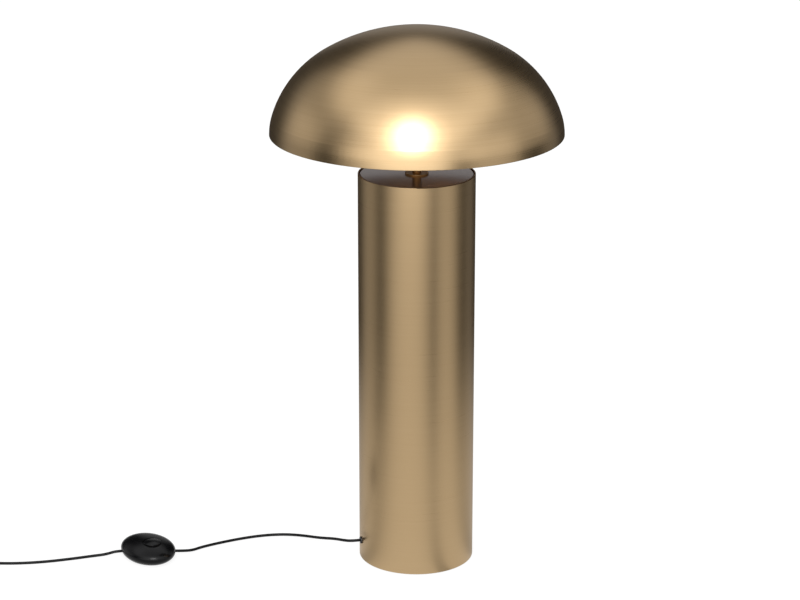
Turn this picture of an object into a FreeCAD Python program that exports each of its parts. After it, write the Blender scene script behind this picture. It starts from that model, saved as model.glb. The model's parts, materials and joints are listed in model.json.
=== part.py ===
"""Mushroom floor lamp: a tall metal column with a spun dome shade, and a foot switch on its lead.

Millimetres, +Z up. The origin is on the column's axis, on the floor. From the front one looks
along +Y, so -Y is the lamp's front and -X its left.
"""
import FreeCAD, Part
import math
import os
import Sketcher
from types import SimpleNamespace

Vector = FreeCAD.Vector
Rotation = FreeCAD.Rotation
Placement = FreeCAD.Placement
X_AXIS, Y_AXIS, Z_AXIS = Vector(1, 0, 0), Vector(0, 1, 0), Vector(0, 0, 1)

# ---------------------------------------------------------------- driving dimensions
DRIVING = {
    # column
    "column_radius": 72.5, "column_top": 505, "column_foot": 1, "column_wall": 1.5, "lip_round": 0.6,
    "cap_recess": 1, "cap_sheet": 1.5, "cap_skirt": 14,
    # foot of the column
    "pad_radius": 67, "pad_thick": 3, "base_sheet": 3, "ballast_radius": 50, "ballast_height": 40,
    "bolt_radius": 4, "base_tab_width": 14, "base_tab_reach": 15, "base_tab_rise": 18,
    "base_tab_sheet": 2, "base_screw_circle": 62, "base_screw_radius": 2.1,
    # stem
    "lamp_tube_radius": 5, "lamp_tube_bore": 3.8, "lamp_tube_low": 486, "lamp_tube_high": 541,
    "nut_circumradius": 8.1, "nut_height": 4, "washer_radius": 9, "washer_sheet": 0.8,
    "flange_radius": 14.5, "flange_height": 2, "sleeve_radius": 5.5, "thread_gap": 0.05,
    # lampholder
    "holder_low": 530, "holder_split": 552, "holder_high": 587, "holder_radius": 19,
    "shell_radius": 19.6, "socket_radius": 13.6, "ring_flange": 28, "terminal_offset": 9.5,
    # shade
    "shade_radius": 180, "shade_rim": 555, "shade_height": 130, "shade_sheet": 1.2, "rim_return": 4,
    "crown_radius": 228, "shoulder_radius": 137, "flank_radius": 72.5, "spider_level": 569,
    "arm_width": 12, "spider_sheet": 1.5, "spider_reach": 173, "lug_reach": 13, "lug_rise": 9,
    # bulb
    "bulb_radius": 30, "bulb_top": 671, "bulb_neck": 26.4, "bulb_cap_radius": 13.1, "bulb_foot": 564.6,
    # foot switch
    "switch_long": 42.5, "switch_short": 32.4, "switch_waist": 10.2, "switch_crown": 13.7,
    "switch_belly": 16, "switch_split": 6.5, "switch_shell": 2, "switch_lift": 0.8,
    "button_offset": 12.2, "button_radius": 11, "button_top": 25.6, "button_travel": 3,
    "button_dish": 1.5, "rotor_radius": 7, "rotor_level": 5.7, "rotor_disc": 3.6,
    "tooth_height": 2.4, "tooth_width": 2.6, "tooth_inner": 4.5, "tooth_outer": 6.3,
    "clamp_station": 25, "lead_entry": 7,
    # lead and plug
    "lead_radius": 1.8, "core_radius": 0.6, "turn_pitch": 4.2, "layer_pitch": 4.3,
    "coil_mean_radius": 20.7, "coil_turns": 9.25,
    "plug_length": 35, "plug_width": 35.3, "plug_flat": 26.1, "plug_thick": 13.7,
    "pin_radius": 2, "pin_length": 19, "pin_sleeve": 10, "pin_spacing": 18.6, "relief_length": 24,
}
TOOTH_COUNT = 8
GROMMET_AZIMUTH = 196.0
GROMMET_LEVEL = 25.0
BASE_TAB_AZIMUTHS = (16.0, 136.0, 256.0)
ARM_AZIMUTHS = (30.0, 150.0, 270.0)

doc = FreeCAD.newDocument("MushroomLamp")
sheet = doc.addObject("Spreadsheet::Sheet", "Sizes")
for row, (alias, value) in enumerate(DRIVING.items(), 1):
    sheet.set(f"A{row}", alias)
    sheet.set(f"B{row}", str(value))
    sheet.setAlias(f"B{row}", alias)
doc.recompute()


class Size:
    """A length that carries its value and the spreadsheet expression behind it."""

    def __init__(self, value, text):
        self.value = float(value)
        self.text = text

    def __add__(self, other):
        other = as_size(other)
        return Size(self.value + other.value, f"({self.text} + {other.text})")

    def __sub__(self, other):
        other = as_size(other)
        return Size(self.value - other.value, f"({self.text} - {other.text})")

    def __mul__(self, other):
        other = as_size(other)
        return Size(self.value * other.value, f"({self.text} * {other.text})")

    def __truediv__(self, other):
        other = as_size(other)
        return Size(self.value / other.value, f"({self.text} / {other.text})")

    def __neg__(self):
        return Size(-self.value, f"(0 - {self.text})")

    def __rsub__(self, other):
        return as_size(other) - self

    __radd__ = __add__
    __rmul__ = __mul__


def as_size(item):
    """A plain number becomes a Size whose expression is the number itself."""
    if isinstance(item, Size):
        return item
    return Size(item, f"{float(item):.10f}")


size = SimpleNamespace(**{alias: Size(getattr(sheet, alias), f"Sizes.{alias}") for alias in DRIVING})

# ---------------------------------------------------------------- shapes of the document
subparts = {}
made = []


def keep(obj, node):
    """Name a finished sub-part: its label is its node's name and its file's name."""
    obj.Label = node
    subparts[node] = obj
    return obj


def new(kind):
    made.append(doc.addObject(kind, f"Form{len(made) + 1:03d}"))
    return made[-1]


def bind(obj, **sizes):
    for prop, item in sizes.items():
        obj.setExpression(prop, as_size(item).text)
    return obj


def move(obj, at, turn=None):
    """Bind the position to the sheet; the turn is a fixed rotation."""
    if turn is not None:
        obj.Placement = Placement(Vector(), turn)
    for letter, item in zip("xyz", at):
        obj.setExpression(f"Placement.Base.{letter}", as_size(item).text)
    return obj


def cylinder(radius, height, at=(0, 0, 0), turn=None):
    return move(bind(new("Part::Cylinder"), Radius=radius, Height=height), at, turn)


def cone(radius_low, radius_high, height, at=(0, 0, 0)):
    return move(bind(new("Part::Cone"), Radius1=radius_low, Radius2=radius_high, Height=height), at)


def box(length, width, height, at=(0, 0, 0), azimuth=0.0):
    """A block that stands on the given place, centred there in X and Y."""
    block = bind(new("Part::Box"), Length=length, Width=width, Height=height)
    turn = math.radians(azimuth)
    back, side = as_size(length) * 0.5, as_size(width) * 0.5
    corner = (as_size(at[0]) - back * math.cos(turn) + side * math.sin(turn),
              as_size(at[1]) - back * math.sin(turn) - side * math.cos(turn), at[2])
    return move(block, corner, Rotation(Z_AXIS, azimuth))


def hexagon(circumradius, height, level):
    prism = bind(new("Part::Prism"), Circumradius=circumradius, Height=height)
    prism.Polygon = 6
    return move(prism, (0, 0, level))


def fuse(*shapes):
    result = new("Part::MultiFuse")
    result.Shapes = list(shapes)
    return result


def cut(base, *tools):
    result = new("Part::Cut")
    result.Base = base
    result.Tool = tools[0] if len(tools) == 1 else fuse(*tools)
    return result


def common(*shapes):
    result = new("Part::MultiCommon")
    result.Shapes = list(shapes)
    return result


def group(*shapes):
    """Separate solids of one kind, such as a set of screws, kept as one node."""
    result = new("Part::Compound")
    result.Links = list(shapes)
    return result


def ring(bore, radius, height, level, at=(0, 0)):
    return cut(cylinder(radius, height, (*at, level)), cylinder(bore, height, (*at, level)))


def from_shape(shape):
    """A form that is swept along a path worked out below."""
    feature = new("Part::Feature")
    feature.Shape = shape
    return feature


def arc_centre(start, end, radius):
    """Centre of the arc from start to end; a positive radius has it on the left of the way."""
    along = end - start
    left = Vector(-along.y, along.x, 0).normalize()
    rise = math.sqrt(max(radius * radius - (along.Length / 2) ** 2, 0.0))
    return (start + end) * 0.5 + left * math.copysign(rise, radius)


def pin_point(sketch, geometry, vertex, x, y):
    """Hold a point of the sketch at (x, y), bound to the sheet."""
    for kind, item, axis in (("DistanceX", x, -2), ("DistanceY", y, -1)):
        if abs(item.value) < 1e-9:
            sketch.addConstraint(Sketcher.Constraint("PointOnObject", geometry, vertex, axis))
            continue
        place = sketch.addConstraint(Sketcher.Constraint(kind, -1, 1, geometry, vertex, item.value))
        sketch.setExpression(f"Constraints[{place}]", item.text)


def outline_sketch(body, plane, outline):
    """A closed outline of (x, y) corners, counter-clockwise.

    A third value on a corner is the radius of the arc that leads on to the next corner: a
    positive one bulges outwards, a negative one inwards.
    """
    sketch = body.newObject("Sketcher::SketchObject", f"{body.Name}Sketch")
    origin_planes = {feature.Role: feature for feature in body.Origin.OriginFeatures}
    sketch.AttachmentSupport = (origin_planes[f"{plane}_Plane"], [""])
    sketch.MapMode = "FlatFace"
    corners = [tuple(as_size(value) for value in corner) for corner in outline]
    points = [Vector(corner[0].value, corner[1].value, 0) for corner in corners]
    ends = []
    for index, corner in enumerate(corners):
        start, end = points[index], points[(index + 1) % len(points)]
        if len(corner) == 2:
            sketch.addGeometry(Part.LineSegment(start, end))
            ends.append((1, 2))
            continue
        radius = corner[2].value
        centre = arc_centre(start, end, radius)
        first, last = (start, end) if radius > 0 else (end, start)
        from_angle, to_angle = (math.atan2(p.y - centre.y, p.x - centre.x) for p in (first, last))
        circle = Part.Circle(centre, Z_AXIS, abs(radius))
        sketch.addGeometry(Part.ArcOfCircle(circle, from_angle, to_angle))
        ends.append((1, 2) if radius > 0 else (2, 1))
    for index, corner in enumerate(corners):
        after = (index + 1) % len(corners)
        sketch.addConstraint(Sketcher.Constraint("Coincident", index, ends[index][1], after, ends[after][0]))
    for index, corner in enumerate(corners):
        pin_point(sketch, index, ends[index][0], corner[0], corner[1])
        if len(corner) == 3:
            radius = corner[2] if corner[2].value > 0 else -corner[2]
            place = sketch.addConstraint(Sketcher.Constraint("Radius", index, radius.value))
            sketch.setExpression(f"Constraints[{place}]", radius.text)
    return sketch


def turned(outline, angle=360.0, azimuth=0.0):
    """A body turned about Z from (radius, height) corners, or a sector of one about an azimuth."""
    body = new("PartDesign::Body")
    sketch = outline_sketch(body, "XZ", outline)
    revolution = body.newObject("PartDesign::Revolution", f"{body.Name}Revolution")
    revolution.Profile = sketch
    revolution.ReferenceAxis = (sketch, ["V_Axis"])
    revolution.Angle = angle
    revolution.Midplane = angle < 360.0
    body.Tip = revolution
    body.Placement = Placement(Vector(), Rotation(Z_AXIS, azimuth))
    return body


def plate(outline, height, level=0):
    """A flat piece: an outline in X and Y, padded up from a level."""
    body = new("PartDesign::Body")
    sketch = outline_sketch(body, "XY", outline)
    sketch.setExpression("AttachmentOffset.Base.z", as_size(level).text)
    pad = body.newObject("PartDesign::Pad", f"{body.Name}Pad")
    pad.Profile = sketch
    pad.setExpression("Length", as_size(height).text)
    body.Tip = pad
    return body


def around(radius, azimuth, level):
    """A place on a circle, bound to the circle's radius."""
    turn = math.radians(azimuth)
    return (as_size(radius) * math.cos(turn), as_size(radius) * math.sin(turn), level)


def slotted_screw(head_radius, head_height, shank_radius, shank_length, at, azimuth=0.0):
    """A screw whose head stands on the given place, with its shank below and a slot on top."""
    x, y, level = at
    head = cylinder(head_radius, head_height, at)
    shank = cylinder(shank_radius, shank_length, (x, y, level - shank_length))
    slot_depth = head_height * 0.5
    slot = box(head_radius * 2.2, head_radius * 0.28, slot_depth, (x, y, level + head_height - slot_depth),
               azimuth)
    return cut(fuse(head, shank), slot)


# ---------------------------------------------------------------- paths of the lead
def routed_wire(points, name):
    """Straight runs joined by tangent arcs, each arc as large as its two runs allow."""
    points = [Vector(*point) for point in points]
    edges = []
    radii = []
    start = points[0]
    for before, corner, after in zip(points, points[1:], points[2:]):
        inward = (corner - before).normalize()
        onward = (after - corner).normalize()
        reach = 0.45 * min((corner - before).Length, (after - corner).Length)
        radius = reach / math.tan(inward.getAngle(onward) / 2)
        first, last = corner - inward * reach, corner + onward * reach
        middle = corner + (onward - inward).normalize() * (math.hypot(radius, reach) - radius)
        edges.append(Part.LineSegment(start, first).toShape())
        edges.append(Part.Arc(first, middle, last).toShape())
        radii.append(radius)
        start = last
    edges.append(Part.LineSegment(start, points[-1]).toShape())
    print(f"{name}: least radius {min(radii):.1f} mm of", [round(radius) for radius in radii])
    return Part.Wire(edges)


def swept(wire, radius, name):
    """A round tube along a wire, its volume compared with its section times its length."""
    first = wire.OrderedEdges[0]
    start = wire.OrderedVertexes[0].Point
    way = first.tangentAt(first.FirstParameter)
    section = Part.Wire([Part.Circle(start, way, radius).toShape()])
    solid = wire.makePipeShell([section], True, False)
    ratio = solid.Volume / (math.pi * radius * radius * wire.Length)
    print(f"{name}: length {wire.Length:.1f} mm, volume over ideal {ratio:.4f}")
    if abs(ratio - 1) > 0.01:
        raise ValueError(f"{name} is not a clean tube")
    return solid


def biarc(start, start_way, end, end_way):
    """Two arcs that leave start along start_way, meet tangentially and reach end along end_way."""
    chord = end - start
    ways = start_way + end_way
    quadratic = 2 * (1 - start_way.dot(end_way))
    linear = 2 * chord.dot(ways)
    reach = (math.sqrt(linear * linear + 4 * quadratic * chord.dot(chord)) - linear) / (2 * quadratic)
    joint = (start + end + (start_way - end_way) * reach) * 0.5
    return [arc_from(start, start_way, joint), arc_from(end, -end_way, joint, backwards=True)]


def arc_from(point, way, target, backwards=False):
    """The arc that leaves point along way and reaches target."""
    across = target - point
    normal = (across - way * across.dot(way)).normalize()
    radius = across.dot(across) / (2 * across.dot(normal))
    centre = point + normal * radius
    middle = centre + ((point - centre) + (target - centre)).normalize() * radius
    first, last = (target, point) if backwards else (point, target)
    return Part.Arc(first, middle, last).toShape()


def wound_wire(place, turns, straight=0.0):
    """Quarter-turn biarcs through place(angle), with straight ends of the given length."""
    nudge = 1e-4
    last = 2 * math.pi * turns
    angles = [math.pi / 2 * step for step in range(round(4 * turns) + 1)]
    points = [place(angle) for angle in angles]
    ways = [(place(min(angle + nudge, last)) - place(max(angle - nudge, 0.0))).normalize() for angle in angles]
    edges = []
    for step in range(len(points) - 1):
        edges.extend(biarc(points[step], ways[step], points[step + 1], ways[step + 1]))
    if straight > 0:
        edges.insert(0, Part.LineSegment(points[0] - ways[0] * straight, points[0]).toShape())
        edges.append(Part.LineSegment(points[-1], points[-1] + ways[-1] * straight).toShape())
    return Part.Wire(edges)


def print_self_gap(wire, radius, turn_length, name):
    """Print the least gap between stretches of a winding that are over half a turn apart."""
    spacing = radius * 0.8
    points = wire.discretize(Distance=spacing)
    skip = int(0.5 * turn_length / spacing)
    least = min((points[i] - points[j]).Length
                for i in range(len(points)) for j in range(i + skip, len(points)))
    print(f"{name}: least gap to itself {least - 2 * radius:.2f} mm")


# ---------------------------------------------------------------- column and its foot
grommet_frame = Placement(Vector(0, 0, GROMMET_LEVEL),
                          Rotation(Z_AXIS, GROMMET_AZIMUTH).multiply(Rotation(Y_AXIS, 90)))


def grommet_hole(radius):
    """The round hole through the column's wall where the lead comes out."""
    hole = bind(new("Part::Cylinder"), Radius=radius, Height=size.column_radius + 10)
    hole.Placement = grommet_frame
    return hole


def column_tube():
    outer, top, lip = size.column_radius, size.column_top, size.lip_round
    inner = outer - size.column_wall
    tube = turned([(inner, size.column_foot), (outer, size.column_foot), (outer, top - lip, lip),
                   (outer - lip, top), (inner, top)])
    keep(cut(tube, grommet_hole(3.5)), "column_tube")


def column_cap():
    """Pressed plate that closes the tube just below its lip, with a skirt turned down."""
    outer = size.column_radius - size.column_wall - 0.1
    top = size.column_top - size.cap_recess
    under = top - size.cap_sheet
    bend = 2.1
    inner_bend = bend - size.cap_sheet
    skirt_low = top - size.cap_skirt
    bore = size.lamp_tube_radius + 0.2
    keep(turned([(bore, under), (outer - bend, under, -inner_bend),
                 (outer - size.cap_sheet, under - inner_bend), (outer - size.cap_sheet, skirt_low),
                 (outer, skirt_low), (outer, top - bend, bend), (outer - bend, top), (bore, top)]),
         "column_cap")


def weighted_base():
    """Base plate with its ballast disc, bolted together through the middle."""
    under, sheet_thick = size.pad_thick, size.base_sheet
    upper = under + sheet_thick
    keep(cylinder(size.pad_radius, under), "felt_pad")
    disc = cylinder(size.column_radius - size.column_wall - 0.4, sheet_thick, (0, 0, under))
    screw_holes = [cone(5.2, 2.3, sheet_thick, around(size.base_screw_circle, azimuth, under))
                   for azimuth in BASE_TAB_AZIMUTHS]
    bolt_hole = cone(8.2, size.bolt_radius + 0.2, sheet_thick, (0, 0, under))
    keep(cut(disc, *screw_holes, bolt_hole), "base_plate")
    chamfer = 3
    ballast_top = upper + size.ballast_height
    bore = size.bolt_radius + 0.2
    keep(turned([(bore, upper), (size.ballast_radius - chamfer, upper),
                 (size.ballast_radius, upper + chamfer), (size.ballast_radius, ballast_top - chamfer),
                 (size.ballast_radius - chamfer, ballast_top), (bore, ballast_top)]), "ballast")
    washer_sheet, nut_height = 1.6, 6.5
    bolt_length = size.ballast_height + washer_sheet + nut_height + 2
    keep(fuse(cone(8.1, size.bolt_radius, sheet_thick, (0, 0, under)),
              cylinder(size.bolt_radius, bolt_length, (0, 0, upper))), "ballast_bolt")
    keep(ring(size.bolt_radius + 0.1, 12, washer_sheet, ballast_top), "ballast_washer")
    nut_level = ballast_top + washer_sheet
    keep(cut(hexagon(7.5, nut_height, nut_level), cylinder(size.bolt_radius, nut_height, (0, 0, nut_level))),
         "ballast_nut")


def base_fixing():
    """Angle tabs welded inside the tube, and the screws that hold the base plate to them."""
    inner = size.column_radius - size.column_wall
    level = size.pad_thick + size.base_sheet
    foot, tab_sheet = inner - size.base_tab_reach, size.base_tab_sheet
    top = level + size.base_tab_rise
    sector = math.degrees(2 * math.asin(size.base_tab_width.value / 2 / inner.value))
    tabs = []
    screws = []
    for azimuth in BASE_TAB_AZIMUTHS:
        tab = turned([(foot, level), (inner, level), (inner, top), (inner - tab_sheet, top),
                      (inner - tab_sheet, level + tab_sheet), (foot, level + tab_sheet)], sector, azimuth)
        tabs.append(cut(tab, cylinder(size.base_screw_radius, tab_sheet * 2,
                                      around(size.base_screw_circle, azimuth, level - 1))))
        head = cone(5.1, size.base_screw_radius, size.base_sheet,
                    around(size.base_screw_circle, azimuth, size.pad_thick))
        shank = cylinder(size.base_screw_radius, tab_sheet + 5,
                         around(size.base_screw_circle, azimuth, level))
        screws.append(fuse(head, shank))
    keep(group(*tabs), "base_tabs")
    keep(group(*screws), "base_screws")


def cord_grommet():
    """Snap-in bush of the lead: round head outside, neck in the wall, ridge inside."""
    wall = size.column_radius
    inner = wall - size.column_wall
    bore = size.lead_radius + 0.05
    nose = inner - 2.5
    bush = turned([(bore, nose), (3.3, nose), (4.1, inner - 1.2), (4.1, inner - 0.25),
                   (3.4, inner - 0.25), (3.4, wall - 0.5), (4.5, wall - 0.5), (4.5, wall + 1.1, 0.7),
                   (3.8, wall + 1.8), (bore, wall + 1.8)])
    bush.Placement = grommet_frame
    level = GROMMET_LEVEL - 15
    wall_ring = cut(cylinder(wall, 30, (0, 0, level)), cylinder(inner, 30, (0, 0, level)))
    keep(cut(bush, cut(wall_ring, grommet_hole(3.45))), "cord_grommet")


# ---------------------------------------------------------------- stem
def stem():
    """Threaded lamp tube from the column's cap to the lampholder, with all that it clamps."""
    cap_top = size.column_top - size.cap_recess
    cap_under = cap_top - size.cap_sheet
    bore = size.lamp_tube_radius + size.thread_gap
    keep(ring(size.lamp_tube_bore, size.lamp_tube_radius, size.lamp_tube_high - size.lamp_tube_low,
              size.lamp_tube_low), "lamp_tube")
    washer_level = cap_under - size.washer_sheet
    teeth = [box(1.6, 1.6, size.washer_sheet, around(size.washer_radius, azimuth, washer_level), azimuth)
             for azimuth in range(0, 360, 30)]
    disc = fuse(cylinder(size.washer_radius, size.washer_sheet, (0, 0, washer_level)), *teeth)
    keep(cut(disc, cylinder(bore, size.washer_sheet, (0, 0, washer_level))), "toothed_washer")
    nuts = []
    for level in (washer_level - size.nut_height, washer_level - size.nut_height * 2 - 0.3):
        nuts.append(cut(hexagon(size.nut_circumradius, size.nut_height, level),
                        cylinder(bore, size.nut_height, (0, 0, level))))
    keep(group(*nuts), "lamp_tube_nuts")
    edge = 0.5
    flange_top = cap_top + size.flange_height
    keep(turned([(bore, cap_top), (size.flange_radius, cap_top),
                 (size.flange_radius, flange_top - edge, edge), (size.flange_radius - edge, flange_top),
                 (bore, flange_top)]), "stem_flange")
    keep(ring(bore, size.sleeve_radius, size.holder_low - flange_top, flange_top), "stem_sleeve")


# ---------------------------------------------------------------- lampholder
def lampholder():
    low, split, high, outer = size.holder_low, size.holder_split, size.holder_high, size.holder_radius
    bore = size.lamp_tube_radius + size.thread_gap
    wall = 2.2
    cap = turned([(bore, low), (9, low), (9, low + 5), (11, low + 7), (outer - 3, low + 9, 3),
                  (outer, low + 12), (outer, split), (outer - wall, split), (outer - wall, low + 12),
                  (11, low + 10), (bore, low + 10)])
    screw_level = low + 2.5
    lying = Rotation(Y_AXIS, 90)
    keep(cut(cap, cylinder(1.5, 12, (0, 0, screw_level), lying)), "holder_cap")
    keep(cylinder(1.5, 3.6, (bore + 0.1, 0, screw_level), lying), "cap_grub_screw")
    shell = size.shell_radius
    seat, thread_low = 15.4, split + 9
    keep(turned([(seat, split), (shell + 0.4, split), (shell + 0.4, split + 5), (shell, split + 6),
                 (shell, high - 6), (17.2, high - 3), (17.2, high - 1, 1), (16.2, high),
                 (size.socket_radius + 0.6, high), (size.socket_radius, high - 1),
                 (size.socket_radius, thread_low), (seat, thread_low)]), "holder_shell")
    ring_bore = shell + 0.15
    lower, upper = size.spider_level, size.spider_level + size.spider_sheet
    keep(turned([(ring_bore, lower - 7), (ring_bore + 3, lower - 7), (ring_bore + 3, lower - 2),
                 (size.ring_flange, lower - 2), (size.ring_flange, lower), (ring_bore, lower)]),
         "lower_shade_ring")
    keep(turned([(ring_bore, upper), (size.ring_flange, upper), (size.ring_flange, upper + 2),
                 (ring_bore + 3, upper + 2), (ring_bore + 3, upper + 7), (ring_bore, upper + 7)]),
         "upper_shade_ring")


def holder_insert():
    """Ceramic block with the two terminals and the contacts that meet the bulb."""
    low, high = size.holder_split - 6, size.holder_split + 7
    sides = (-size.terminal_offset, size.terminal_offset)
    block = cylinder(15.2, high - low, (0, 0, low))
    pockets = [box(7, 9.2, 7, (x, 0, low)) for x in sides]
    contact_slot = box(9, 3.2, 1.2, (0, 0, high - 1.2))
    keep(cut(block, *pockets, contact_slot), "holder_insert")
    tongue = box(7.2, 2.8, 0.5, (0, 0, high + 4.8))
    stand = box(0.6, 2.8, 6.5, (-3.9, 0, high - 1.2))
    keep(fuse(tongue, stand), "centre_contact")
    blade_place = size.socket_radius - 0.6
    keep(fuse(box(0.6, 4.6, 12, (blade_place, 0, high)), box(4, 4.6, 0.6, (blade_place - 1.7, 0, high))),
         "side_contact")
    block_level = low + 0.6
    terminals = [cut(box(5.6, 6.4, 6.4, (x, 0, block_level)), cylinder(1.5, 6.4, (x, 0, block_level)))
                 for x in sides]
    keep(group(*terminals), "holder_terminals")
    screws = [fuse(cylinder(2.6, 1.4, (x, 0, block_level - 1.4)), cylinder(1.45, 5, (x, 0, block_level)))
              for x in sides]
    slots = [box(5.6, 0.7, 0.7, (x, 0, block_level - 1.4)) for x in sides]
    keep(group(*(cut(screw, slot) for screw, slot in zip(screws, slots))), "holder_screws")


# ---------------------------------------------------------------- bulb
def bulb():
    foot, cap = size.bulb_foot, size.bulb_cap_radius
    keep(turned([(0, foot), (3.2, foot), (4.6, foot + 1.2), (4.6, foot + 2), (0, foot + 2)]), "bulb_tip")
    keep(turned([(0, foot + 2), (4.6, foot + 2), (9.5, foot + 4.6), (10.4, foot + 6), (0, foot + 6)]),
         "bulb_insulator")
    valley, pitch, crest = cap - 0.7, 3.6, 2.4
    cap_outline = [(0, foot + 6), (10.4, foot + 6)]
    for turn in range(4):
        level = foot + 8 + pitch * turn
        cap_outline += [(valley, level, crest), (valley, level + pitch * 0.9)]
    cap_outline += [(valley, foot + 24), (cap + 0.4, foot + 26), (0, foot + 26)]
    keep(turned(cap_outline), "bulb_cap")
    neck, half = size.bulb_neck, size.bulb_radius
    centre = size.bulb_top - half
    collar_top = centre - math.sqrt(half.value ** 2 - neck.value ** 2)
    keep(turned([(0, foot + 26), (cap + 0.6, foot + 26), (cap + 0.9, foot + 29, -75),
                 (neck, collar_top), (0, collar_top)]), "bulb_collar")
    keep(turned([(0, collar_top), (neck, collar_top, half), (half, centre, half), (0, size.bulb_top)]),
         "bulb_globe")


# ---------------------------------------------------------------- shade
def dome_joints(inset):
    """Where crown, shoulder and flank arcs meet tangentially, on a skin inset from the outside."""
    crown, shoulder, flank = size.crown_radius.value, size.shoulder_radius.value, size.flank_radius.value
    across = size.shade_radius.value - flank
    down = size.shade_height.value - crown
    side = ((shoulder - flank) ** 2 - (crown - shoulder) ** 2 - across ** 2 - down ** 2)
    side /= 2 * (crown - shoulder)
    angle = math.acos(side / math.hypot(across, down)) - math.atan2(across, down)
    crown_way = Vector(math.sin(angle), math.cos(angle), 0)
    crown_centre = Vector(0, size.shade_rim.value + down, 0)
    shoulder_centre = crown_centre + crown_way * (crown - shoulder)
    flank_centre = Vector(across, size.shade_rim.value, 0)
    flank_way = (flank_centre - shoulder_centre).normalize()
    return crown_centre + crown_way * (crown - inset), flank_centre + flank_way * (flank - inset)


def shade_dome():
    """Spun dome of one sheet: crown, shoulder and flank, with the rim turned in."""
    rim, thick, outer = size.shade_rim, size.shade_sheet, size.shade_radius
    top = rim + size.shade_height
    crown_end, shoulder_end = dome_joints(0.0)
    inner_crown_end, inner_shoulder_end = dome_joints(thick.value)
    edge = 0.5
    keep(turned([(outer - size.rim_return, rim), (outer - edge, rim, edge),
                 (outer, rim + edge, size.flank_radius),
                 (shoulder_end.x, shoulder_end.y, size.shoulder_radius),
                 (crown_end.x, crown_end.y, size.crown_radius), (0, top),
                 (0, top - thick, thick - size.crown_radius),
                 (inner_crown_end.x, inner_crown_end.y, thick - size.shoulder_radius),
                 (inner_shoulder_end.x, inner_shoulder_end.y, thick - size.flank_radius),
                 (outer - thick, rim + thick), (outer - size.rim_return, rim + thick)]), "shade_dome")


def dome_wall(level):
    """Radius of the dome's inner face at a level of its flank."""
    skin = size.flank_radius.value - size.shade_sheet.value
    rise = level - size.shade_rim.value
    return size.shade_radius.value - size.flank_radius.value + math.sqrt(skin * skin - rise * rise)


def shade_spider():
    """Ring on the lampholder with three ribbed arms that reach the dome's lugs."""
    level, thick = size.spider_level, size.spider_sheet
    inner_end = 24
    arm_length = size.spider_reach - inner_end
    middle = arm_length / 2 + inner_end
    screw_circle = size.spider_reach - 4.5
    arms = [box(arm_length, size.arm_width, thick, around(middle, azimuth, level), azimuth)
            for azimuth in ARM_AZIMUTHS]
    ribs = [box(arm_length - 32, 2.4, 2, around(middle, azimuth, level + thick), azimuth)
            for azimuth in ARM_AZIMUTHS]
    holes = [cylinder(2.2, 6, around(screw_circle, azimuth, level - 2)) for azimuth in ARM_AZIMUTHS]
    disc = cylinder(size.ring_flange + 2, thick, (0, 0, level))
    keep(cut(fuse(disc, *arms, *ribs), cylinder(size.shell_radius + 0.4, 6, (0, 0, level - 2)), *holes),
         "shade_spider")
    low = level.value + thick.value
    high = low + size.lug_rise.value
    skin = size.flank_radius - size.shade_sheet
    lug_sheet = 1.5
    lugs = []
    screws = []
    for azimuth in ARM_AZIMUTHS:
        lug = turned([(dome_wall(low) - size.lug_reach, low), (dome_wall(low), low, skin),
                      (dome_wall(high), high), (dome_wall(high) - lug_sheet, high),
                      (dome_wall(low + lug_sheet) - lug_sheet, low + lug_sheet),
                      (dome_wall(low) - size.lug_reach, low + lug_sheet)], 4.6, azimuth)
        lugs.append(cut(lug, cylinder(1.95, 6, around(screw_circle, azimuth, low - 2))))
        head = cylinder(3.6, 2.2, around(screw_circle, azimuth, level - 2.2))
        slot = box(8, 0.9, 1, around(screw_circle, azimuth, level - 2.2), azimuth + 40)
        shank = cylinder(1.95, 5.5, around(screw_circle, azimuth, level))
        screws.append(cut(fuse(head, shank), slot))
    keep(group(*lugs), "shade_lugs")
    keep(group(*screws), "spider_screws")


# ---------------------------------------------------------------- foot switch
SWITCH_CENTRE = Vector(-343.5, -15.5, 0)
SWITCH_AZIMUTH = -56.0
SWITCH_SCREWS = ((-29.0, 0.0), (30.0, 0.0))
switch_frame = Placement(SWITCH_CENTRE, Rotation(Z_AXIS, SWITCH_AZIMUTH))
lead_azimuth = -SWITCH_AZIMUTH


def placed(obj, node):
    """Put a piece made in the switch's own frame where the switch lies."""
    obj.Placement = switch_frame.multiply(obj.Placement)
    return keep(obj, node)


def on_lead_line(station, side, level):
    """A place in the switch's frame, along and beside the line of the lead."""
    turn = math.radians(lead_azimuth)
    station = as_size(station)
    return (station * math.cos(turn) - side * math.sin(turn),
            station * math.sin(turn) + side * math.cos(turn), level)


def pebble(inset):
    """Oval pebble: half an ellipsoid for the crown above half a fuller one for the belly."""
    halves = []
    for rise, low_angle, high_angle in ((size.switch_crown, 0, 90), (size.switch_belly, -90, 0)):
        half = bind(new("Part::Ellipsoid"), Radius1=rise - inset, Radius2=size.switch_long - inset,
                    Radius3=size.switch_short - inset)
        half.Angle1 = low_angle
        half.Angle2 = high_angle
        halves.append(move(half, (0, 0, size.switch_waist)))
    return fuse(*halves)


def layer(low, high):
    """The whole width of the switch between two levels."""
    return box(100, 100, high - low, (0, 0, low))


def lead_holes():
    """The way of the lead through the housing's two ends."""
    holes = []
    for station in (24, -40):
        hole = bind(new("Part::Cylinder"), Radius=size.lead_radius + 0.1, Height=16)
        along = Rotation(Z_AXIS, lead_azimuth).multiply(Rotation(Y_AXIS, 90))
        holes.append(move(hole, on_lead_line(station, 0, size.lead_entry), along))
    return holes


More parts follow.
